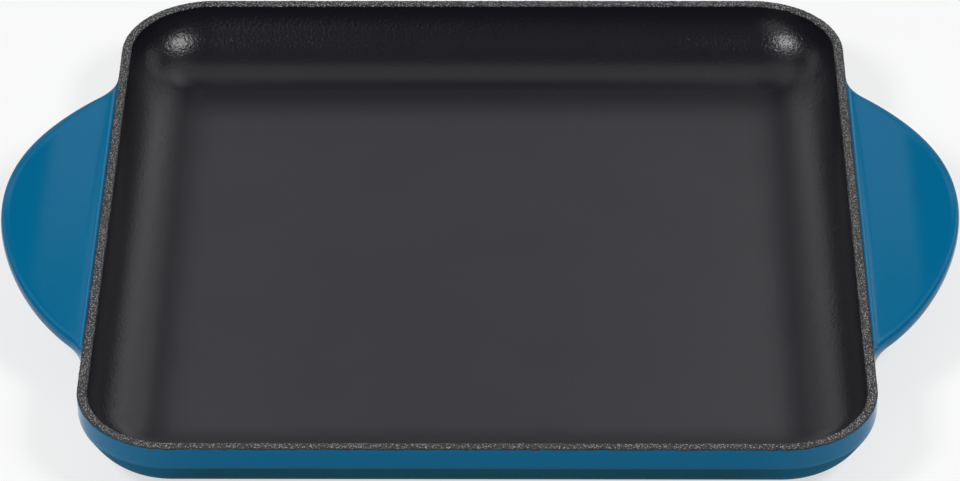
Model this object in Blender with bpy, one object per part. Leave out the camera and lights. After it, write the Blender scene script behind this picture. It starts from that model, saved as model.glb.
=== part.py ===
"""A square cast-iron griddle pan with an ear handle on each side, in its enamel coats.

The pan stands on z = 0 with its centre on the origin, and its ears point along +X and -X.
Every surface is worked out from the finished outside of the pan: a coat lies between depth 0
and COAT, and the iron begins one COAT_GAP deeper.
"""

import math

import bmesh
import bpy

# Pan, over its finished surfaces (metres)
PAN_SIDE = 0.245
PAN_HEIGHT = 0.0213
CORNER_RADIUS = 0.03
FLOOR_THICKNESS = 0.0034
RIM_WIDTH = 0.0032
RIM_EDGE_RADIUS = 0.001
FLANK_ANGLE = math.radians(30)
SHOULDER_RADIUS = 0.005
BASE_ROUND_RADIUS = 0.017
COVE_REACH = 0.0252
COVE_HEIGHT = 0.0183
WALL_DRAFT = math.radians(8)

# Enamel coats
COAT = 0.0004
COAT_GAP = 0.0003
RIM_COAT_ANGLE = math.radians(30)

# Ear handles
EAR_REACH = 0.0317
EAR_HALF_LENGTH = 0.0704
EAR_FULLNESS = 1.2
EAR_THICKNESS = 0.0046
EAR_TIP_RISE = 0.0049
EAR_ROOT_FILLET = 0.0196
EAR_STEP = 0.0002
EAR_HEEL = 0.0006

# Fineness of the curved surfaces
CORNER_STEPS = 8
ROUND_STEPS = 4
EAR_STEPS = 14
FILLET_STEPS = 4
TOP_STEPS = 5

SHARP_ANGLE = math.radians(35)
LEAST_RADIUS = 0.0001
LEAST_SHARE = 0.000001

# How deep an ear is rooted, as shares of the wall: its root, the start of its edge and its end fillets
ROOT_SHARE = 0.6
NOSE_SHARE = 0.5
FILLET_SHARE = 0.15


def steps(first, last, count):
    """Evenly spaced values from first to last, both included."""
    return [first + (last - first) * i / count for i in range(count + 1)]


def rounded_square(inset, z):
    """One level ring of the pan, this far inside its rim outline. Corners keep the same centres."""
    half = PAN_SIDE / 2 - inset
    radius = max(CORNER_RADIUS - inset, LEAST_RADIUS)
    ring = []
    for corner in range(4):
        middle = math.radians(45 + 90 * corner)
        centre_x = math.copysign(half - radius, math.cos(middle))
        centre_y = math.copysign(half - radius, math.sin(middle))
        for angle in steps(middle - math.pi / 4, middle + math.pi / 4, CORNER_STEPS):
            ring.append((centre_x + radius * math.cos(angle), centre_y + radius * math.sin(angle), z))
    return ring


def arc(centre, radius, first, last, count=ROUND_STEPS):
    """Points of an arc in the wall's section, as (inset, z), at angles from the outward level direction."""
    radius = max(radius, LEAST_RADIUS)
    return [
        (centre[0] - radius * math.cos(angle), centre[1] + radius * math.sin(angle))
        for angle in steps(first, last, count)
    ]


def outside_section(depth):
    """The outer wall from the base's edge up to its upright band, this deep below the finished surface."""
    band_low = PAN_HEIGHT - RIM_EDGE_RADIUS - EAR_STEP - EAR_THICKNESS - EAR_HEEL
    turn = (SHOULDER_RADIUS, band_low)
    turn_low = (
        SHOULDER_RADIUS * (1 - math.cos(FLANK_ANGLE)),
        band_low - SHOULDER_RADIUS * math.sin(FLANK_ANGLE),
    )
    base_round = min(BASE_ROUND_RADIUS, turn_low[1] / (1 - math.sin(FLANK_ANGLE)))
    flank_drop = turn_low[1] - base_round * (1 - math.sin(FLANK_ANGLE))
    flank_low = turn_low[0] + flank_drop * math.tan(FLANK_ANGLE)
    base = (flank_low + base_round * math.cos(FLANK_ANGLE), base_round)
    return (
        arc(base, base_round - depth, -math.pi / 2, -FLANK_ANGLE, 2 * ROUND_STEPS)
        + arc(turn, SHOULDER_RADIUS - depth, -FLANK_ANGLE, 0)
    )


def rim_outside(depth, first=0):
    """The rim's outer edge, from an angle above its upright face round to its top."""
    centre = (RIM_EDGE_RADIUS, PAN_HEIGHT - RIM_EDGE_RADIUS)
    return arc(centre, RIM_EDGE_RADIUS - depth, first, math.pi / 2)


def draft_inset(z, depth=0):
    """Inset of the straight upper part of the inner wall at a height."""
    fall = PAN_HEIGHT - RIM_EDGE_RADIUS - z
    return RIM_WIDTH + fall * math.tan(WALL_DRAFT) - depth / math.cos(WALL_DRAFT)


def rim_inside(depth, last=math.pi - WALL_DRAFT):
    """The rim's inner edge, from its top round to the draft of the inner wall or an angle above it."""
    z = PAN_HEIGHT - RIM_EDGE_RADIUS
    centre = (RIM_WIDTH - RIM_EDGE_RADIUS / math.cos(WALL_DRAFT), z)
    return arc(centre, RIM_EDGE_RADIUS - depth, math.pi / 2, last)


def cove_section(depth):
    """The inner wall's sweep, a quarter ellipse from its straight upper part down to the floor's edge."""
    lining_top = PAN_HEIGHT - RIM_EDGE_RADIUS
    room = lining_top - FLOOR_THICKNESS - COAT_GAP
    first = math.atan(COVE_HEIGHT / COVE_REACH * math.tan(WALL_DRAFT))
    height = min(COVE_HEIGHT, room / (1 - math.sin(first)))
    first = math.atan(height / COVE_REACH * math.tan(WALL_DRAFT))
    z = FLOOR_THICKNESS + height
    inset = draft_inset(z - height * math.sin(first)) + COVE_REACH * math.cos(first)
    return [
        (inset - (COVE_REACH + depth) * math.cos(angle), z - (height + depth) * math.sin(angle))
        for angle in steps(first, math.pi / 2, 2 * ROUND_STEPS)
    ]


def rings(section):
    return [rounded_square(inset, z) for inset, z in section]


def mesh_object(name, loops, wrapped):
    """A closed skin over loops of equal length: wrapped round on itself, or capped at both ends."""
    mesh = bpy.data.meshes.new(name)
    built = bmesh.new()
    rows = [[built.verts.new(point) for point in loop] for loop in loops]
    pairs = list(zip(rows, rows[1:]))
    if wrapped:
        pairs.append((rows[-1], rows[0]))
    else:
        built.faces.new(rows[0])
        built.faces.new(rows[-1])
    for lower, upper in pairs:
        for i, vert in enumerate(lower):
            built.faces.new((lower[i - 1], vert, upper[i], upper[i - 1]))
    bmesh.ops.recalc_face_normals(built, faces=built.faces)
    built.to_mesh(mesh)
    built.free()
    mesh.shade_smooth()
    mesh.set_sharp_from_angle(angle=SHARP_ANGLE)
    made = bpy.data.objects.new(name, mesh)
    bpy.context.collection.objects.link(made)
    return made


def ear_curve(along):
    """The ear's outline, between a parabola and an ellipse: its reach, and its outward direction."""
    share = max(1 - (along / EAR_HALF_LENGTH) ** 2, LEAST_SHARE)
    reach = EAR_REACH * share ** (1 / EAR_FULLNESS)
    slope = 2 * reach * along / (EAR_FULLNESS * share * EAR_HALF_LENGTH**2)
    length = math.hypot(1, slope)
    return reach, (1 / length, slope / length)


def fillet_meeting():
    """Where the fillet at an ear's end leaves the ear's curve: the half length there, by bisection."""
    centre_reach = EAR_ROOT_FILLET - FILLET_SHARE * RIM_WIDTH
    low = 0
    high = EAR_HALF_LENGTH
    for _ in range(60):
        along = (low + high) / 2
        reach, (level, _) = ear_curve(along)
        if reach + EAR_ROOT_FILLET * level > centre_reach:
            low = along
        else:
            high = along
    return low


def ear_outline():
    """Points along the ear's edge, each as (reach, along, outward direction), ends inside the wall."""
    meeting = fillet_meeting()
    reach, (level, sideways) = ear_curve(meeting)
    centre = (reach + EAR_ROOT_FILLET * level, meeting + EAR_ROOT_FILLET * sideways)
    half = []
    for angle in steps(0, math.atan2(sideways, level), FILLET_STEPS)[:-1]:
        direction = (math.cos(angle), math.sin(angle))
        reach = centre[0] - EAR_ROOT_FILLET * direction[0]
        along = centre[1] - EAR_ROOT_FILLET * direction[1]
        half.append((reach, along, direction))
    for along in steps(meeting, 0, EAR_STEPS // 2):
        reach, direction = ear_curve(along)
        half.append((reach, along, direction))
    other = [(reach, -along, (level, -sideways)) for reach, along, (level, sideways) in half[:-1]]
    return half + other[::-1]


def ear_height(reach):
    """Height of the middle of the ear's thickness: level at the wall, rising to its tip."""
    root = PAN_HEIGHT - RIM_EDGE_RADIUS - EAR_STEP - EAR_THICKNESS / 2
    return root + EAR_TIP_RISE * (max(reach, 0) / EAR_REACH) ** 2


def ear_form(name, side, depth):
    """One ear, this deep below its finished surface, with its root inside the wall.

    Each station across the ear is a closed loop: out along the top, round the edge and back below.
    """
    wall = PAN_SIDE / 2
    half_thick = EAR_THICKNESS / 2
    root = -ROOT_SHARE * RIM_WIDTH
    loops = []
    for reach, along, (level, sideways) in ear_outline():
        nose = min(half_thick, (reach + NOSE_SHARE * RIM_WIDTH) / level)
        nose_reach = reach - nose * level
        nose_along = along - nose * sideways
        loop = []
        for out in steps(root, nose_reach, TOP_STEPS)[:-1]:
            loop.append((out, nose_along, ear_height(out) + half_thick - depth))
        for angle in steps(math.pi / 2, -math.pi / 2, 2 * ROUND_STEPS):
            forward = max(nose - depth, LEAST_RADIUS) * math.cos(angle)
            out = nose_reach + forward * level
            up = (half_thick - depth) * math.sin(angle)
            loop.append((out, nose_along + forward * sideways, ear_height(out) + up))
        for out in steps(nose_reach, root, TOP_STEPS)[1:]:
            loop.append((out, nose_along, ear_height(out) - half_thick + depth))
        loops.append([(side * (wall + out), across, z) for out, across, z in loop])
    return mesh_object(name, loops, False)


def make_helper(made):
    made.hide_render = True
    made.display_type = "WIRE"


def combine(made, other, operation):
    """Joins or cuts by another closed form, which stays as a hidden helper."""
    modifier = made.modifiers.new(other.name, "BOOLEAN")
    modifier.operation = operation
    modifier.solver = "EXACT"
    modifier.object = other
    make_helper(other)


def add_ears(made, depth):
    for side, word in ((1, "right"), (-1, "left")):
        combine(made, ear_form(f"{made.name}_{word}_ear", side, depth), "UNION")


def finish(made, colour, roughness, metallic):
    material = bpy.data.materials.new(made.name)
    material.use_nodes = True
    shader = material.node_tree.nodes["Principled BSDF"]
    shader.inputs["Base Color"].default_value = (*colour, 1)
    shader.inputs["Roughness"].default_value = roughness
    shader.inputs["Metallic"].default_value = metallic
    made.data.materials.append(material)


def filled_pan(name, depth, top):
    """The pan as a solid block up to a level top, without its ears."""
    section = outside_section(depth)
    section.append((depth, top))
    return mesh_object(name, rings(section), False)


def iron_casting():
    """Floor, walls and both ears, poured as one piece of iron."""
    depth = COAT + COAT_GAP
    section = outside_section(depth) + rim_outside(depth) + rim_inside(depth) + cove_section(depth)
    made = mesh_object("iron_casting", rings(section), False)
    add_ears(made, depth)
    finish(made, (0.06, 0.06, 0.065), 0.6, 1)


def cooking_enamel():
    """The black lining of the floor, the cove and the walls, up to the rim's own coat."""
    top = PAN_HEIGHT - RIM_EDGE_RADIUS
    face = [(draft_inset(top), top)] + cove_section(0)
    back = [(draft_inset(top, COAT), top)] + cove_section(COAT)
    made = mesh_object("cooking_enamel", rings(face[::-1] + back), False)
    finish(made, (0.028, 0.028, 0.031), 0.42, 0)


def rim_enamel():
    """The dark coat over the lip: a strip with rounded edges that runs all the way round."""
    last = math.pi - RIM_COAT_ANGLE
    face = rim_outside(0, RIM_COAT_ANGLE) + rim_inside(0, last)
    back = rim_outside(COAT, RIM_COAT_ANGLE) + rim_inside(COAT, last)
    made = mesh_object("rim_enamel", rings(face + back[::-1]), True)
    finish(made, (0.075, 0.075, 0.08), 0.5, 0)


def outer_enamel():
    """The blue coat of the walls, the ears and the underside, open where the rim's coat begins."""
    top = PAN_HEIGHT - RIM_EDGE_RADIUS
    made = filled_pan("outer_enamel", 0, top)
    add_ears(made, 0)
    core = filled_pan("outer_enamel_core", COAT, PAN_HEIGHT + EAR_TIP_RISE)
    add_ears(core, COAT)
    combine(made, core, "DIFFERENCE")
    finish(made, (0.0, 0.125, 0.29), 0.15, 0)


for leftover in list(bpy.data.objects):
    bpy.data.objects.remove(leftover)

iron_casting()
cooking_enamel()
rim_enamel()
outer_enamel()
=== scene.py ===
"""A square enamelled cast-iron griddle pan with two ear handles, dressed around its CAD frame."""

import math

import bpy
import numpy as np
from mathutils import Matrix, Vector


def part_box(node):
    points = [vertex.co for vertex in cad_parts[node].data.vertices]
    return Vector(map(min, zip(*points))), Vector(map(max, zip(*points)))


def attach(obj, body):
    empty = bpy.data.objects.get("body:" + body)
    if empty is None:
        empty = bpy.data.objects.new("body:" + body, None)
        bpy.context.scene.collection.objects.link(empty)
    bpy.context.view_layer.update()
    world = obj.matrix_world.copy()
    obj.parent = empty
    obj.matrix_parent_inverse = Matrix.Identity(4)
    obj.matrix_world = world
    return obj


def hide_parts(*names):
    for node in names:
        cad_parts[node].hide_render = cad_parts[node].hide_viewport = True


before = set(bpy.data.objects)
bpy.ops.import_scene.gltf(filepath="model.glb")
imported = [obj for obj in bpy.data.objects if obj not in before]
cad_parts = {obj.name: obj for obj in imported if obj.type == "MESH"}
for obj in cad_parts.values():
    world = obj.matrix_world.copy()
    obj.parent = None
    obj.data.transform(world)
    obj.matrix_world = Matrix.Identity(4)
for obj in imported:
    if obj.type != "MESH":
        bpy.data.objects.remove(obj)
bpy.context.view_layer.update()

# Iron casting
# Floor, walls and both ears were poured as one piece of grey iron in a sand mould, which left it
# rough. The enamel covers all of it, so only a hairline could ever show between two coats.


class Wire:
    """One output of a material's node tree. Sums of wires and numbers add Math nodes."""

    def __init__(self, tree, socket=None):
        self.tree = tree
        self.socket = socket

    def add(self, kind, settings, sockets, output=0):
        """Adds a node of any type: first its settings, then the values or wires of its sockets."""
        node = self.tree.nodes.new(kind)
        for name, value in settings.items():
            setattr(node, name, value)
        for name, value in sockets.items():
            if isinstance(value, Wire):
                self.tree.links.new(value.socket, node.inputs[name])
            else:
                node.inputs[name].default_value = value
        return Wire(self.tree, node.outputs[output]) if node.outputs else None

    def maths(self, operation, first, second):
        """A Math node that works on two wires or numbers."""
        return self.add("ShaderNodeMath", {"operation": operation}, {0: first, 1: second})

    def __add__(self, other):
        return self.maths("ADD", self, other)

    def __radd__(self, other):
        return self.maths("ADD", other, self)

    def __sub__(self, other):
        return self.maths("SUBTRACT", self, other)

    def __rsub__(self, other):
        return self.maths("SUBTRACT", other, self)

    def __mul__(self, other):
        return self.maths("MULTIPLY", self, other)

    def __rmul__(self, other):
        return self.maths("MULTIPLY", other, self)

    def __abs__(self):
        return self.maths("ABSOLUTE", self, 0)

    def greater(self, other):
        """The greater of this wire and another one."""
        return self.maths("MAXIMUM", self, other)

    def step(self, low, high):
        """0 below low and 1 above high, with a smooth rise between them."""
        sockets = {"Value": self, "From Min": low, "From Max": high}
        return self.add("ShaderNodeMapRange", {"interpolation_type": "SMOOTHSTEP"}, sockets)

    def mix(self, first, second):
        """A colour that goes from first to second as this wire goes from 0 to 1."""
        sockets = {0: self, 6: first, 7: second}
        return self.add("ShaderNodeMix", {"data_type": "RGBA"}, sockets, 2)


def new_material(name):
    """A bare material, its node tree as a wire, and a wire for the object's own coordinates."""
    material = bpy.data.materials.new(name)
    material.use_nodes = True
    material.node_tree.nodes.clear()
    tree = Wire(material.node_tree)
    return material, tree, tree.add("ShaderNodeTexCoord", {}, {}, "Object")


def noise(place, size, detail=2.0, roughness=0.5):
    """Cloudy noise with features about this many metres across, from 0 to 1 around 0.5."""
    sockets = {"Vector": place, "Scale": 1 / size, "Detail": detail, "Roughness": roughness}
    return place.add("ShaderNodeTexNoise", {}, sockets, "Fac")


def finish_surface(tree, sockets, height, depth, dull=None):
    """Ends a material in a Principled shader, with a bump of this depth in metres.

    Where a dull wire is given, that share of the surface is matt instead, in the same colour.
    """
    bump = tree.add("ShaderNodeBump", {}, {"Height": height, "Distance": depth, "Strength": 1.0})
    shader = tree.add("ShaderNodeBsdfPrincipled", {}, {**sockets, "Normal": bump})
    if dull is not None:
        matt = tree.add("ShaderNodeBsdfDiffuse", {}, {"Color": sockets["Base Color"], "Normal": bump})
        shader = tree.add("ShaderNodeMixShader", {}, {0: dull, 1: shader, 2: matt})
    tree.add("ShaderNodeOutputMaterial", {}, {"Surface": shader})


IRON_GREY = (0.055, 0.053, 0.052, 1)
IRON_RUST = (0.075, 0.052, 0.04, 1)
SAND_GRAIN = 0.0006
SAND_DEPTH = 0.00015
RUST_PATCH = 0.012
RUST_ONSET = (0.45, 0.7)

iron_finish, tree, place = new_material("bare_grey_iron")
grain = noise(place, SAND_GRAIN, 3)
patches = noise(place, RUST_PATCH).step(*RUST_ONSET)
sockets = {
    "Base Color": patches.mix(IRON_GREY, IRON_RUST),
    "Metallic": 0.8,
    "Roughness": 0.55 + 0.2 * grain,
}
finish_surface(tree, sockets, grain, SAND_DEPTH)
iron_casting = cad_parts["iron_casting"]
iron_casting.data.materials.clear()
iron_casting.data.materials.append(iron_finish)

# Blue outer enamel
# One glossy coat, sprayed on the iron and fired, over the walls, both ears and the underside. It is
# thin and dark on the ears' edges, matt on the flank, and round in every inner corner. Its flank is
# painted darker, a painted shade that is strongest on the front and back walls.

COAT = 0.0004
CORNER_RADIUS = 0.03
LIP_ROUND = 0.001
BLUE_LIP_ANGLE = math.radians(62)
SHOULDER_RADIUS = 0.005
FLANK_ANGLE = math.radians(30)
BASE_ROUND_RADIUS = 0.017
EAR_HALF_LENGTH = 0.0704
EAR_FULLNESS = 1.2
EAR_THICKNESS = 0.0046
EAR_TIP_RISE = 0.0049
EAR_ROOT_FILLET = 0.0196
EAR_STEP = 0.0002
EAR_HEEL = 0.0006
EAR_TOP_FILLET = 0.0022
EAR_TOP_FILLET_WIDTH = 0.0016
EAR_UNDER_FILLET = 0.0026

# The fillets are full grown where the ear reaches this far, and over the next distance its root fits
# the wall's own curve. The last value stands for no reach, so that nothing is divided by zero.
FILLET_GROWTH = 0.002
ROOT_BLEND = 0.001
NO_REACH = 1e-7

# The nose is the ear's round edge, which takes NOSE_SHARE / p of the reach. The cosines are of the
# angle round it from the ear's middle plane, and the coat is thinnest where the ear reaches furthest.
EDGE_BLUNTNESS = 2.5
NOSE_SHARE = 2.2
LEAST_RUN_SHARE = 0.35
FILLET_RUN_SHARE = 0.3
NOSE_THINNESS = 0.3
NOSE_COSINES = (0.3, 0.7)
THIN_LINE_ANGLE = -0.65
THIN_LINE_COSINES = (0.9, 1)
THIN_GROWTH = 0.02

# Points on each stretch of the section, and rings on the flat base.
ROUND_POINTS = 40
BASE_ROUND_POINTS = 160
OUTLINE_POINTS = 8001
OUTLINE_END = 0.9999
FILLET_POINTS = 7
RUN_POINTS = 12
NOSE_POINTS = 15
ABOVE_EAR_POINTS = 8
BELOW_EAR_POINTS = 39
BASE_RINGS = 15
SHARP_ANGLE = math.radians(40)

blue_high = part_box("outer_enamel")[1]
pan_half = blue_high.y
pan_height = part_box("rim_enamel")[1].z
ear_reach = blue_high.x - pan_half
lip_start = pan_height - LIP_ROUND
ear_root_middle = lip_start - EAR_STEP - EAR_THICKNESS / 2
band_low = lip_start - EAR_STEP - EAR_THICKNESS - EAR_HEEL


def stations(half, radius, per_ear_side, per_plain_side, per_corner):
    """Stations round a rounded square, anticlockwise from the +X side.

    Each has a foot on the square of the corners' centres and an outward direction, so a ring at
    any inset is foot + (radius - inset) * direction. along is the place on an ear's side, and
    infinite elsewhere.
    """
    core = half - radius
    feet = []
    directions = []
    along = []
    for side in range(4):
        count = per_plain_side if side % 2 else per_ear_side
        turn = side * math.pi / 2
        outward = np.array([math.cos(turn), math.sin(turn)])
        forward = np.array([-outward[1], outward[0]])
        run = np.linspace(-core, core, count, endpoint=False)
        feet.append(core * outward + run[:, None] * forward)
        directions.append(np.tile(outward, (count, 1)))
        along.append(np.full(count, np.inf) if side % 2 else run)
        angles = turn + np.linspace(0, math.pi / 2, per_corner, endpoint=False)
        feet.append(np.tile(core * (outward + forward), (per_corner, 1)))
        directions.append(np.stack([np.cos(angles), np.sin(angles)], axis=1))
        along.append(np.full(per_corner, np.inf))
    return np.concatenate(feet), np.concatenate(directions), np.concatenate(along)


def outer_wall():
    """The wall's section as dense (inset, z) points, from the lip down.

    It is the arc of the lip's round, the upright band, the shoulder's arc, the straight flank that
    slants in, and the arc of the base's round, which ends flat on the ground.
    """
    turn = np.linspace(BLUE_LIP_ANGLE, 0, ROUND_POINTS)
    lip_inset = LIP_ROUND * (1 - np.cos(turn))
    lip = np.stack([lip_inset, lip_start + LIP_ROUND * np.sin(turn)], axis=1)
    turn = np.linspace(0, FLANK_ANGLE, ROUND_POINTS)
    shoulder_inset = SHOULDER_RADIUS * (1 - np.cos(turn))
    shoulder = np.stack([shoulder_inset, band_low - SHOULDER_RADIUS * np.sin(turn)], axis=1)
    flank_drop = shoulder[-1, 1] - BASE_ROUND_RADIUS * (1 - math.sin(FLANK_ANGLE))
    flank_low = shoulder[-1, 0] + flank_drop * math.tan(FLANK_ANGLE)
    turn = np.linspace(FLANK_ANGLE, math.pi / 2, BASE_ROUND_POINTS)
    base_inset = flank_low + BASE_ROUND_RADIUS * (math.cos(FLANK_ANGLE) - np.cos(turn))
    base = np.stack([base_inset, BASE_ROUND_RADIUS * (1 - np.sin(turn))], axis=1)
    return np.concatenate([lip, shoulder, base])


def ear_outline(along):
    """How far the ear reaches from the wall at each place along it, and the cosine of its slope there.

    The edge is ear reach * (1 - (along / half length)^2)^(1 / fullness), and a fillet circle joins
    each end to the wall. The table ends just short of the half length, where the slope is endless.
    """
    table = np.linspace(0, OUTLINE_END * EAR_HALF_LENGTH, OUTLINE_POINTS)
    share = 1 - (table / EAR_HALF_LENGTH) ** 2
    curve = ear_reach * share ** (1 / EAR_FULLNESS)
    slope = 2 * curve * table / (EAR_FULLNESS * share * EAR_HALF_LENGTH**2)
    cosine = 1 / np.hypot(1, slope)
    left_over = curve + EAR_ROOT_FILLET * (cosine - 1)
    meeting = np.interp(0, left_over[::-1], table[::-1])
    sine = np.interp(meeting, table, slope * cosine)
    fillet_end = meeting + EAR_ROOT_FILLET * sine
    place = np.minimum(np.abs(along), fillet_end)
    from_end = (fillet_end - place) / EAR_ROOT_FILLET
    fillet = EAR_ROOT_FILLET * (1 - np.sqrt(1 - np.minimum(from_end, sine) ** 2))
    fillet_cosine = np.sqrt(1 - np.minimum(from_end, 1) ** 2)
    reach = np.where(place < meeting, np.interp(place, table, curve), fillet)
    reach_cosine = np.where(place < meeting, np.interp(place, table, cosine), fillet_cosine)
    return reach, reach_cosine


def fillet_height(distance, radius, width):
    """Height above the flat of a fillet's arc, which ends this width from the wall."""
    into_arc = np.clip(width - distance, 0, radius)
    return radius - np.sqrt(radius**2 - into_arc**2)


def ear_section(along):
    """The wall's bulge into an ear at each station, as (outward distance, z, thinness of the coat).

    The points run from the top root round the nose to the bottom root. Across its thickness the
    ear is the superellipse (x / reach)^p + (z / half thickness)^2 = 1, bent up towards the tip and
    flared into fillets at the wall. p grows with the reach, so that the edge stays round, and with
    no reach left the bulge is the plain upright wall. The coat is a little thin all over the nose
    and thinnest along a line below its middle.
    """
    reach, reach_cosine = ear_outline(along)
    reach = np.maximum(reach, NO_REACH)[:, None]
    half_thick = EAR_THICKNESS / 2
    power = np.maximum(2, 2 * EDGE_BLUNTNESS * reach * reach_cosine[:, None] / half_thick)
    nose_start = np.maximum(1 - NOSE_SHARE / power, LEAST_RUN_SHARE)
    grown = np.clip(reach / FILLET_GROWTH, 0, 1)
    grown = grown * grown * (3 - 2 * grown)

    def run(fillet):
        """Distances from the wall to the start of the nose, close together in the fillet."""
        inner = np.minimum(fillet, FILLET_RUN_SHARE * nose_start * reach)
        curl = inner * (1 - np.cos(np.linspace(0, math.pi / 2, FILLET_POINTS)))
        out = inner + (nose_start * reach - inner) * np.linspace(0, 1, RUN_POINTS + 1)[1:]
        return np.concatenate([curl, out], axis=1)

    def angle_at(distance):
        """Angle up from the ear's middle plane of the superellipse's point at a distance."""
        return np.arccos(np.clip((distance / reach) ** (power / 2), 0, 1))

    top = run(EAR_TOP_FILLET_WIDTH)
    bottom = run(EAR_UNDER_FILLET)
    nose = np.linspace(1, -1, NOSE_POINTS + 2)[1:-1] * np.arccos(nose_start ** (power / 2))
    angle = np.concatenate([angle_at(top), nose, -angle_at(bottom)[:, ::-1]], axis=1)
    out = np.concatenate([top, reach * np.cos(nose) ** (2 / power), bottom[:, ::-1]], axis=1)
    z = ear_root_middle + EAR_TIP_RISE * (out / ear_reach) ** 2 + half_thick * np.sin(angle)
    columns = top.shape[1]
    z[:, :columns] += grown * fillet_height(top, EAR_TOP_FILLET, EAR_TOP_FILLET_WIDTH)
    z[:, -columns:] -= grown * fillet_height(bottom, EAR_UNDER_FILLET, EAR_UNDER_FILLET)[:, ::-1]
    on_nose = NOSE_THINNESS * np.interp(np.cos(angle), NOSE_COSINES, (0, 1))
    on_line = np.interp(np.cos(angle - THIN_LINE_ANGLE), THIN_LINE_COSINES, (0, 1))
    thinness = np.maximum(on_nose, on_line) * np.clip(reach / THIN_GROWTH, 0, 1)
    return out, z, thinness


def outward_normals(grid):
    """Unit normals of a grid of points that closes on itself along its first axis."""
    round_way = np.roll(grid, -1, axis=0) - np.roll(grid, 1, axis=0)
    along_way = np.gradient(grid, axis=1)
    normal = np.cross(round_way, along_way)
    return normal / np.maximum(np.linalg.norm(normal, axis=2, keepdims=True), 1e-12)


def mesh_piece(name, points, faces, finish):
    """A smooth-shaded object at the origin from its points and faces, with its material."""
    mesh = bpy.data.meshes.new(name)
    mesh.from_pydata(points.tolist(), [], faces)
    mesh.validate()
    mesh.shade_smooth()
    mesh.set_sharp_from_angle(angle=SHARP_ANGLE)
    mesh.materials.append(finish)
    piece = bpy.data.objects.new(name, mesh)
    bpy.context.scene.collection.objects.link(piece)
    return piece


def shell_piece(name, face, thickness, finish):
    """A closed shell from its outer face, a grid that goes round the pan and ends in its middle.

    The back is the face moved in along its normals, which are upright in the middle. Columns run
    from the back's middle, over the edge, to the face's middle, and the two middles are single
    points closed by triangles.
    """
    normals = outward_normals(face)
    normals[:, -1] = (0, 0, np.sign(normals[0, -3, 2]))
    back = face - thickness * normals
    grid = np.concatenate([back[:, ::-1], face], axis=1)
    rows, columns = grid.shape[:2]
    inner = grid[:, 1:-1].reshape(-1, 3)
    points = np.concatenate([inner, grid[:1, 0], grid[:1, -1]])
    width = columns - 2
    number = np.arange(rows * width).reshape(rows, width)
    beside = np.roll(number, -1, axis=0)
    quads = np.stack([number[:, :-1], beside[:, :-1], beside[:, 1:], number[:, 1:]], axis=-1)
    first = np.full(rows, rows * width)
    start = np.stack([first, beside[:, 0], number[:, 0]], axis=1)
    end = np.stack([first + 1, number[:, -1], beside[:, -1]], axis=1)
    faces = quads.reshape(-1, 4).tolist() + start.tolist() + end.tolist()
    return mesh_piece(name, points, faces, finish)


def set_attribute(piece, name, values):
    """Gives each point of a piece a number, which its material reads by this name."""
    attribute = piece.data.attributes.new(name, "FLOAT", "POINT")
    attribute.data.foreach_set("value", np.ascontiguousarray(values, np.float32))


feet, directions, along = stations(
    pan_half, CORNER_RADIUS, per_ear_side=120, per_plain_side=26, per_corner=26
)
wall = outer_wall()
wall_length = np.concatenate([[0], np.cumsum(np.hypot(*np.diff(wall, axis=0).T))])
ear_out, ear_z, ear_thinness = ear_section(along)
wall_inset = np.interp(ear_z, wall[::-1, 1], wall[::-1, 0])
ear_out = ear_out - wall_inset * np.exp(-ear_out / ROOT_BLEND)

# Above and below the ear the section's points are spread evenly along the wall.
high_length = np.interp(ear_z[:, :1], wall[::-1, 1], wall_length[::-1])
low_length = np.interp(ear_z[:, -1:], wall[::-1, 1], wall_length[::-1])
upper_length = high_length * np.linspace(0, 1, ABOVE_EAR_POINTS + 1)[:-1]
lower_share = np.linspace(0, 1, BELOW_EAR_POINTS + 1)[1:]
lower_length = low_length + (wall_length[-1] - low_length) * lower_share
upper_out = -np.interp(upper_length, wall_length, wall[:, 0])
lower_out = -np.interp(lower_length, wall_length, wall[:, 0])
upper_z = np.interp(upper_length, wall_length, wall[:, 1])
lower_z = np.interp(lower_length, wall_length, wall[:, 1])
section_out = np.concatenate([upper_out, ear_out, lower_out], axis=1)
section_z = np.concatenate([upper_z, ear_z, lower_z], axis=1)
level = feet[:, None, :] + (CORNER_RADIUS + section_out)[:, :, None] * directions[:, None, :]
sides = np.concatenate([level, section_z[:, :, None]], axis=2)
base_share = np.linspace(1, 0, BASE_RINGS + 1)[1:]
base = sides[:, -1:, :] * np.stack([base_share, base_share, 0 * base_share], axis=1)

# The stations are turned round, so that the faces point outwards.
blue_face = np.concatenate([sides, base], axis=1)[::-1]

BLUE = (0.0, 0.14, 0.294, 1)
BLUE_THIN = (0.002, 0.022, 0.036, 1)
# Painted shade: this darker blue on the flank stands in for the shade under the pan.
BLUE_PAINTED_SHADE = (0.003, 0.069, 0.11, 1)
THIN_DARKNESS = 0.7
THINNEST = (0.4, 1)

# The flank's matt finish and painted shade set in over these distances below the shoulder's
# start, and those of the long front and back walls over these distances in from the pan's sides.
FLANK_FADE = (0.0005, 0.0022)
CORNER_FADE = (0.015, 0.045)
# The flank's painted shade keeps this share of its strength at the sides and corners.
SIDE_SHADE_SHARE = 0.45
MATT_SHARE = 0.9
MATT_WALL = 0.5
FLOW_SIZE = 0.0028
FLOW_DEPTH = 0.000012

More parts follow.
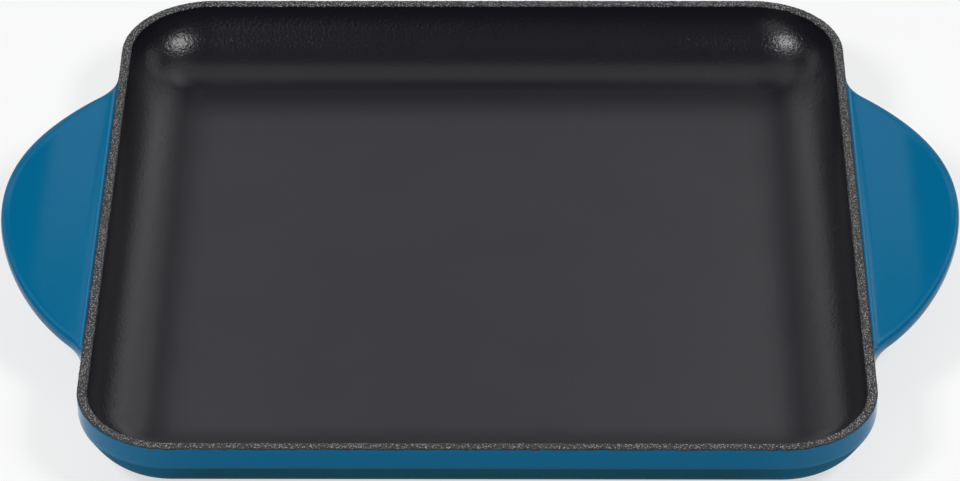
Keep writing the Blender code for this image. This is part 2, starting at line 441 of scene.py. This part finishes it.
blue_finish, tree, place = new_material("glossy_blue_enamel")
thinness = tree.add("ShaderNodeAttribute", {"attribute_name": "thinness"}, {}, "Fac")
thin = thinness.step(0, 1)
thinnest = thinness.step(*THINNEST)
across, height = (tree.add("ShaderNodeSeparateXYZ", {}, {0: place}, axis) for axis in "XZ")
long_wall = (pan_half - abs(across)).step(*CORNER_FADE)
flank = (band_low - height).step(*FLANK_FADE)
# Painted shade on the flank, full on the front and back walls and weaker at the sides.
foot = flank * (SIDE_SHADE_SHARE + (1 - SIDE_SHADE_SHARE) * long_wall)
sockets = {
    "Base Color": (THIN_DARKNESS * thin).mix(foot.mix(BLUE, BLUE_PAINTED_SHADE), BLUE_THIN),
    "Roughness": 0.13 + 0.1 * thin,
    "IOR": 1.27,
}
dull = MATT_SHARE * thinnest.greater(flank).greater(MATT_WALL * long_wall)
finish_surface(tree, sockets, noise(place, FLOW_SIZE), FLOW_DEPTH, dull)

outer_enamel = shell_piece("blue_outer_enamel", blue_face, COAT, blue_finish)
face_thinness = np.zeros(blue_face.shape[:2])
ear_end = ABOVE_EAR_POINTS + ear_thinness.shape[1]
face_thinness[:, ABOVE_EAR_POINTS:ear_end] = ear_thinness[::-1]
shell_thinness = np.concatenate([face_thinness[:, ::-1], face_thinness], axis=1)[:, 1:-1]
set_attribute(outer_enamel, "thinness", np.concatenate([shell_thinness.ravel(), [0, 0]]))
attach(outer_enamel, "root")
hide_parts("outer_enamel")

# Black cooking enamel
# The satin lining of the floor, the cove and the walls. It was fired from a matt glaze, whose fine
# orange-peel grain breaks up every reflection. The flat floor is smoother, and its colour is painted
# lighter away from the walls: painted light, with painted shade towards the walls, most at the back.

RIM_WIDTH = 0.0032
COVE_REACH = 0.0252
COVE_HEIGHT = 0.0183
WALL_DRAFT = math.radians(8)
LINING_LIP_ANGLE = math.radians(50)
LINING_LIP_POINTS = 8
DRAFT_POINTS = 2
COVE_POINTS = 48
FLOOR_RINGS = 29

floor_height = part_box("cooking_enamel")[0].z + COAT
inner_lip_inset = RIM_WIDTH - LIP_ROUND / math.cos(WALL_DRAFT)


def draft_inset(z):
    """Inset of the inner wall's straight upper part at a height."""
    return RIM_WIDTH + (lip_start - z) * math.tan(WALL_DRAFT)


def lining_section():
    """The inner wall as (inset, z) points, from the lip down.

    It is the arc of the lip's round, a straight draft, and the part of the cove's ellipse that starts
    along the draft and ends flat on the floor.
    """
    turn = np.linspace(math.pi - LINING_LIP_ANGLE, math.pi - WALL_DRAFT, LINING_LIP_POINTS)
    lip_inset = inner_lip_inset - LIP_ROUND * np.cos(turn)
    lip = np.stack([lip_inset, lip_start + LIP_ROUND * np.sin(turn)], axis=1)
    first = math.atan(COVE_HEIGHT / COVE_REACH * math.tan(WALL_DRAFT))
    centre_z = floor_height + COVE_HEIGHT
    cove_top = centre_z - COVE_HEIGHT * math.sin(first)
    centre_inset = draft_inset(cove_top) + COVE_REACH * math.cos(first)
    turn = np.linspace(first, math.pi / 2, COVE_POINTS)
    cove_inset = centre_inset - COVE_REACH * np.cos(turn)
    cove = np.stack([cove_inset, centre_z - COVE_HEIGHT * np.sin(turn)], axis=1)
    straight = np.linspace(lip[-1, 1], cove[0, 1], DRAFT_POINTS + 2)[1:-1]
    return np.concatenate([lip, np.stack([draft_inset(straight), straight], axis=1), cove])


feet, directions, _ = stations(
    pan_half, CORNER_RADIUS, per_ear_side=44, per_plain_side=44, per_corner=30
)
section = lining_section()
level = feet[:, None, :] + (CORNER_RADIUS - section[None, :, :1]) * directions[:, None, :]
section_z = np.broadcast_to(section[None, :, 1:], level.shape[:2] + (1,))
sides = np.concatenate([level, section_z], axis=2)
floor_share = np.linspace(1, 0, FLOOR_RINGS + 1)[1:, None]
floor = sides[:, -1:, :] * np.concatenate([floor_share, floor_share, 1 + 0 * floor_share], axis=1)
black_face = np.concatenate([sides, floor], axis=1)

BLACK = (0.0095, 0.0095, 0.014, 1)
# Painted light: a lighter black for the floor away from the walls, in place of the light the satin
# floor reflects.
BLACK_PAINTED_FLOOR_LIGHT = (0.031, 0.031, 0.0375, 1)

# The floor's painted light rises over these distances in from its edges, with painted shade nearer the
# walls.
PAINTED_LIGHT_FROM_SIDES = (-0.012, 0.007)
PAINTED_LIGHT_FROM_BACK = (0.003, 0.022)
PAINTED_LIGHT_FROM_FRONT = (-0.006, 0.007)
CLOUD_SIZE = 0.03

# The grain's strength goes from the floor's to the wall's over these heights above the floor.
PEEL_CLIMB = (0.0003, 0.006)
PEEL_FLOOR = 0.2
PEEL_WALL = 0.75
PEEL_SIZE = 0.0011
PEEL_DEPTH = 0.0002

black_finish, tree, place = new_material("satin_black_enamel")
peel = noise(place, PEEL_SIZE, 2.5, 0.55)
cloud = noise(place, CLOUD_SIZE)
across, onward, height = (tree.add("ShaderNodeSeparateXYZ", {}, {0: place}, axis) for axis in "XYZ")
floor_half = float(pan_half - section[-1, 0])
from_sides = (floor_half - abs(across)).step(*PAINTED_LIGHT_FROM_SIDES)
from_back = (floor_half - onward).step(*PAINTED_LIGHT_FROM_BACK)
from_front = (floor_half + onward).step(*PAINTED_LIGHT_FROM_FRONT)
# Painted light on the floor, fading to painted shade towards the walls.
painted_floor_light = from_sides * from_back * from_front
climb = (height - floor_height).step(*PEEL_CLIMB)
sockets = {
    "Base Color": (painted_floor_light * (0.8 + 0.4 * cloud)).mix(BLACK, BLACK_PAINTED_FLOOR_LIGHT),
    "Roughness": 0.25 + 0.05 * painted_floor_light + 0.06 * cloud,
    "IOR": 1.5,
}
peel_height = (PEEL_FLOOR + (PEEL_WALL - PEEL_FLOOR) * climb) * peel
finish_surface(tree, sockets, peel_height, PEEL_DEPTH)

cooking_enamel = shell_piece("black_cooking_enamel", black_face, COAT, black_finish)
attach(cooking_enamel, "root")
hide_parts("cooking_enamel")

# Rim enamel
# A thin dark coat over the lip, brushed on before the last firing, so it laps over the ends of the
# two other coats with an uneven edge. It is dull and sandy, with pale specks that are partly the
# sand's own pale grains and partly painted glints where grains stand up. Its outer round is painted
# dark: a dark hairline at the coat's edge, and painted shade over the round.

RIM_PROUD = 0.00006
RIM_OUTER_ANGLE = math.radians(30)
RIM_INNER_ANGLE = math.radians(19)
RIM_WANDER = math.radians(9)
RIM_SAND = 0.00007
SAND_LOWEST = -0.8
SAND_HIGHEST = 1.5
ARC_POINTS = 7
FLAT_POINTS = 4


def wander(count, width, seed):
    """Random numbers on a closed round of stations, blurred over this many, mostly from -1 to 1."""
    rough = np.random.default_rng(seed).normal(size=count)
    offset = np.minimum(np.arange(count), count - np.arange(count))
    blur = np.exp(-((offset / width) ** 2))
    smooth = np.fft.irfft(np.fft.rfft(rough) * np.fft.rfft(blur), count)
    return smooth / (2 * smooth.std())


def rim_sections(outer_start, inner_end):
    """Closed sections of the coat as (inset, z), one for each pair of angles where it ends on the lip.

    It runs over the lip's outer round, flat top and inner round, and back underneath: first on
    its neighbours' faces, then on the iron.
    """
    share = np.linspace(0, 1, ARC_POINTS)
    outer = outer_start[:, None] + (math.pi / 2 - outer_start[:, None]) * share
    inner = math.pi / 2 + (math.pi / 2 - inner_end[:, None]) * share

    def on_round(middle, radius, turn):
        """Points on a round of the lip, at these turns of each section."""
        return np.stack([middle - radius * np.cos(turn), lip_start + radius * np.sin(turn)], axis=-1)

    def on_all(middle, radius, turn):
        """The same points on a round of the lip for every section."""
        return np.broadcast_to(on_round(middle, radius, np.array(turn)), (len(outer), len(turn), 2))

    proud = LIP_ROUND + RIM_PROUD
    flat = np.linspace(LIP_ROUND, inner_lip_inset, FLAT_POINTS + 2)[1:-1]
    top = np.stack([flat, np.full(FLAT_POINTS, lip_start + proud)], axis=-1)
    top = np.broadcast_to(top, (len(outer), FLAT_POINTS, 2))
    lining_end = math.pi - LINING_LIP_ANGLE
    return np.concatenate(
        [
            on_round(LIP_ROUND, proud, outer),
            top,
            on_round(inner_lip_inset, proud, inner),
            on_round(inner_lip_inset, LIP_ROUND, inner[:, -1:]),
            on_all(inner_lip_inset, LIP_ROUND, [lining_end]),
            on_all(inner_lip_inset, LIP_ROUND - COAT, [lining_end, math.pi / 2]),
            on_all(LIP_ROUND, LIP_ROUND - COAT, [math.pi / 2, BLUE_LIP_ANGLE]),
            on_all(LIP_ROUND, LIP_ROUND, [BLUE_LIP_ANGLE]),
            on_round(LIP_ROUND, LIP_ROUND, outer[:, :1]),
        ],
        axis=1,
    )


def ring_piece(name, sections, feet, directions, finish):
    """A closed ring: each station's closed section, set at its foot and turned to its direction."""
    level = feet[:, None, :] + (CORNER_RADIUS - sections[:, :, :1]) * directions[:, None, :]
    grid = np.concatenate([level, sections[:, :, 1:]], axis=2)
    number = np.arange(grid.shape[0] * grid.shape[1]).reshape(grid.shape[:2])
    beside = np.roll(number, -1, axis=0)
    corners = [number, beside, np.roll(beside, -1, axis=1), np.roll(number, -1, axis=1)]
    faces = np.stack(corners, axis=-1).reshape(-1, 4).tolist()
    return mesh_piece(name, grid.reshape(-1, 3), faces, finish)


# Painted shade: the first colour darkens the rim's outer round, along with the dark hairline at the
# coat's edge.
RIM_HAIRLINE_AND_SHADE = (0.008, 0.008, 0.009, 1)
RIM_DARK = (0.018, 0.018, 0.02, 1)
RIM_GREY = (0.05, 0.05, 0.052, 1)
# Painted glints: the pale specks are partly the sand's own pale grains and partly painted glints.
RIM_SPECK_AND_GLINT = (0.4, 0.396, 0.392, 1)
RIM_GRAIN = 0.00058
RIM_GRAIN_DEPTH = 0.0003
GREY_ONSET = (0.4, 0.62)
SPECK_AND_GLINT_FADE = (0.22, 0.4)
HAIRLINE_AND_SHADE_FADE = (0.03, 0.3)
HAIRLINE_AND_SHADE_RAGGED = 0.2

rim_finish, tree, place = new_material("sandy_rim_enamel")
grain = noise(place, RIM_GRAIN, 2, 0.6)
speck_and_glint_spread = {"Vector": place, "Scale": 1 / RIM_GRAIN}
# Pale specks, partly real sand grains and partly painted glints where grains stand up.
speck_and_glint = 1 - tree.add("ShaderNodeTexVoronoi", {}, speck_and_glint_spread, "Distance").step(*SPECK_AND_GLINT_FADE)
across = tree.add("ShaderNodeAttribute", {"attribute_name": "across"}, {}, "Fac")
grey = grain.step(*GREY_ONSET).mix(RIM_DARK, RIM_GREY)
# A ragged band of dark hairline and painted shade along the rim's outer round.
past_hairline_and_shade = (across + HAIRLINE_AND_SHADE_RAGGED * (grain - 0.5)).step(*HAIRLINE_AND_SHADE_FADE)
sockets = {
    "Base Color": past_hairline_and_shade.mix(RIM_HAIRLINE_AND_SHADE, speck_and_glint.mix(grey, RIM_SPECK_AND_GLINT)),
    "Roughness": 0.4 + 0.2 * grain,
    "IOR": 1.5,
}
finish_surface(tree, sockets, grain, RIM_GRAIN_DEPTH)

feet, directions, _ = stations(
    pan_half, CORNER_RADIUS, per_ear_side=560, per_plain_side=560, per_corner=140
)
around = len(feet)
sections = rim_sections(
    RIM_OUTER_ANGLE + RIM_WANDER * np.clip(wander(around, width=1.4, seed=3), -1, 1),
    RIM_INNER_ANGLE + RIM_WANDER * np.clip(wander(around, width=1.4, seed=4), -1, 1),
)
top_points = 2 * ARC_POINTS + FLAT_POINTS
rows_of_sand = [wander(around, width=1.2, seed=10 + point) for point in range(top_points)]
sand = RIM_SAND * np.clip(np.stack(rows_of_sand, axis=1), SAND_LOWEST, SAND_HIGHEST)
middle = np.clip(sections[:, :top_points, 0], LIP_ROUND, inner_lip_inset)
rise = sections[:, :top_points] - np.stack([middle, np.full(middle.shape, lip_start)], axis=-1)
sections[:, :top_points] += sand[:, :, None] * rise / np.linalg.norm(rise, axis=-1, keepdims=True)
rim_enamel = ring_piece("sandy_rim_enamel", sections, feet, directions, rim_finish)
place_across = np.zeros(sections.shape[:2])
place_across[:, :top_points] = np.linspace(0, 1, top_points)
set_attribute(rim_enamel, "across", place_across.ravel())
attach(rim_enamel, "root")
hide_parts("rim_enamel")

# Floor of the studio
# A pale sheet of paper that the pan stands on. It is not part of the object. The camera and the
# reflections see it as partly aglow, so that it looks white and still keeps the pan's shadow.

FLOOR_HALF = 2.4
FLOOR_DROP = 0.0001
FLOOR_WHITE = (0.93, 0.93, 0.93, 1)
FLOOR_GLOW = 0.65

floor_finish, tree, _ = new_material("pale_paper")
diffuse = tree.add("ShaderNodeBsdfDiffuse", {}, {"Color": FLOOR_WHITE})
white = tree.add("ShaderNodeEmission", {}, {"Strength": 1.0})
camera_ray, glossy_ray, clear_ray = (
    tree.add("ShaderNodeLightPath", {}, {}, kind)
    for kind in ("Is Camera Ray", "Is Glossy Ray", "Is Transmission Ray")
)
seen = FLOOR_GLOW * (camera_ray + glossy_ray + clear_ray)
shader = tree.add("ShaderNodeMixShader", {}, {0: seen, 1: diffuse, 2: white})
tree.add("ShaderNodeOutputMaterial", {}, {"Surface": shader})
corners = FLOOR_HALF * np.array([[-1, -1, 0], [1, -1, 0], [1, 1, 0], [-1, 1, 0]])
studio_floor = mesh_piece("studio_floor", corners - [0, 0, FLOOR_DROP], [[0, 1, 2, 3]], floor_finish)

# Camera
# It looks down at the front of the pan from about 1.4 metres away, through a long lens.

CAMERA_TILT = math.radians(36.47)
CAMERA_YAW = math.radians(-0.789)
CAMERA_ROLL = math.radians(-0.424)
CAMERA_DISTANCE = 1.414
AIM_HEIGHT = 0.022
AIM_RIGHT = 0.00001
AIM_UP = -0.01076
LENS_MM = 164.35
SENSOR_MM = 36

right = Vector((1, 0, 0))
forward = Vector((0, math.cos(CAMERA_TILT), -math.sin(CAMERA_TILT)))
up = Vector((0, math.sin(CAMERA_TILT), math.cos(CAMERA_TILT)))
stand = Vector((0, 0, AIM_HEIGHT)) - CAMERA_DISTANCE * forward + AIM_RIGHT * right + AIM_UP * up
rolled_right = math.cos(CAMERA_ROLL) * right + math.sin(CAMERA_ROLL) * up
rolled_up = math.cos(CAMERA_ROLL) * up - math.sin(CAMERA_ROLL) * right
pose = Matrix((rolled_right, rolled_up, -forward)).transposed().to_4x4()
pose.translation = stand
lens = bpy.data.cameras.new("camera")
lens.lens = LENS_MM
lens.sensor_width = SENSOR_MM
lens.sensor_fit = "HORIZONTAL"
camera = bpy.data.objects.new("camera", lens)
camera.matrix_world = Matrix.Rotation(-CAMERA_YAW, 4, "Z") @ pose
bpy.context.scene.collection.objects.link(camera)
bpy.context.scene.camera = camera

# Studio light
# Two bright softboxes stand high at the sides, and a dim bank hangs above the back. Two panels, lit
# sheets round the pan and a far window give the glossy enamel something to mirror.

LAMP_DISTANCE = 1.4
FAR_DISTANCE = 6
AMBIENT = 0.02


def softbox(name, azimuth, elevation, width, height, radiance, distance=LAMP_DISTANCE):
    """A rectangular lamp that faces the pan, with this radiance over its face.

    The azimuth runs clockwise from the back of the pan, in degrees like the elevation.
    """
    across = math.radians(azimuth)
    rise = math.radians(elevation)
    level = math.cos(rise)
    direction = Vector((level * math.sin(across), level * math.cos(across), math.sin(rise)))
    light = bpy.data.lights.new(name, "AREA")
    light.shape = "RECTANGLE"
    light.size = width
    light.size_y = height
    light.energy = radiance * math.pi * width * height
    lamp = bpy.data.objects.new(name, light)
    lamp.location = distance * direction
    lamp.rotation_euler = direction.to_track_quat("Z", "Y").to_euler()
    bpy.context.scene.collection.objects.link(lamp)


softbox("left_softbox", -111, 50, 0.42, 0.38, 18)
softbox("right_softbox", 111, 50, 0.42, 0.38, 18)
softbox("bank", 0, 61.5, 1.75, 0.61, 0.6)
softbox("left_panel", -25, 41, 0.5, 0.3, 0.6)
softbox("right_panel", 25, 41, 0.5, 0.3, 1.3)
softbox("left_sheet", -42, 23, 1.3, 0.4, 0.9)
softbox("right_sheet", 42, 23, 1.3, 0.4, 1.1)
softbox("back_sheet", 0, 20, 0.75, 0.44, 0.45)
softbox("far_window", -0.3, 35, 0.98, 0.38, 0.85, FAR_DISTANCE)
softbox("front_left_sheet", -145, 30, 0.9, 0.75, 0.8)
softbox("front_right_sheet", 145, 30, 0.9, 0.75, 0.15)

world = bpy.data.worlds.new("studio")
world.use_nodes = True
world.node_tree.nodes["Background"].inputs["Color"].default_value = (1, 1, 1, 1)
world.node_tree.nodes["Background"].inputs["Strength"].default_value = AMBIENT
bpy.context.scene.world = world
bpy.context.scene.view_settings.view_transform = "Standard"
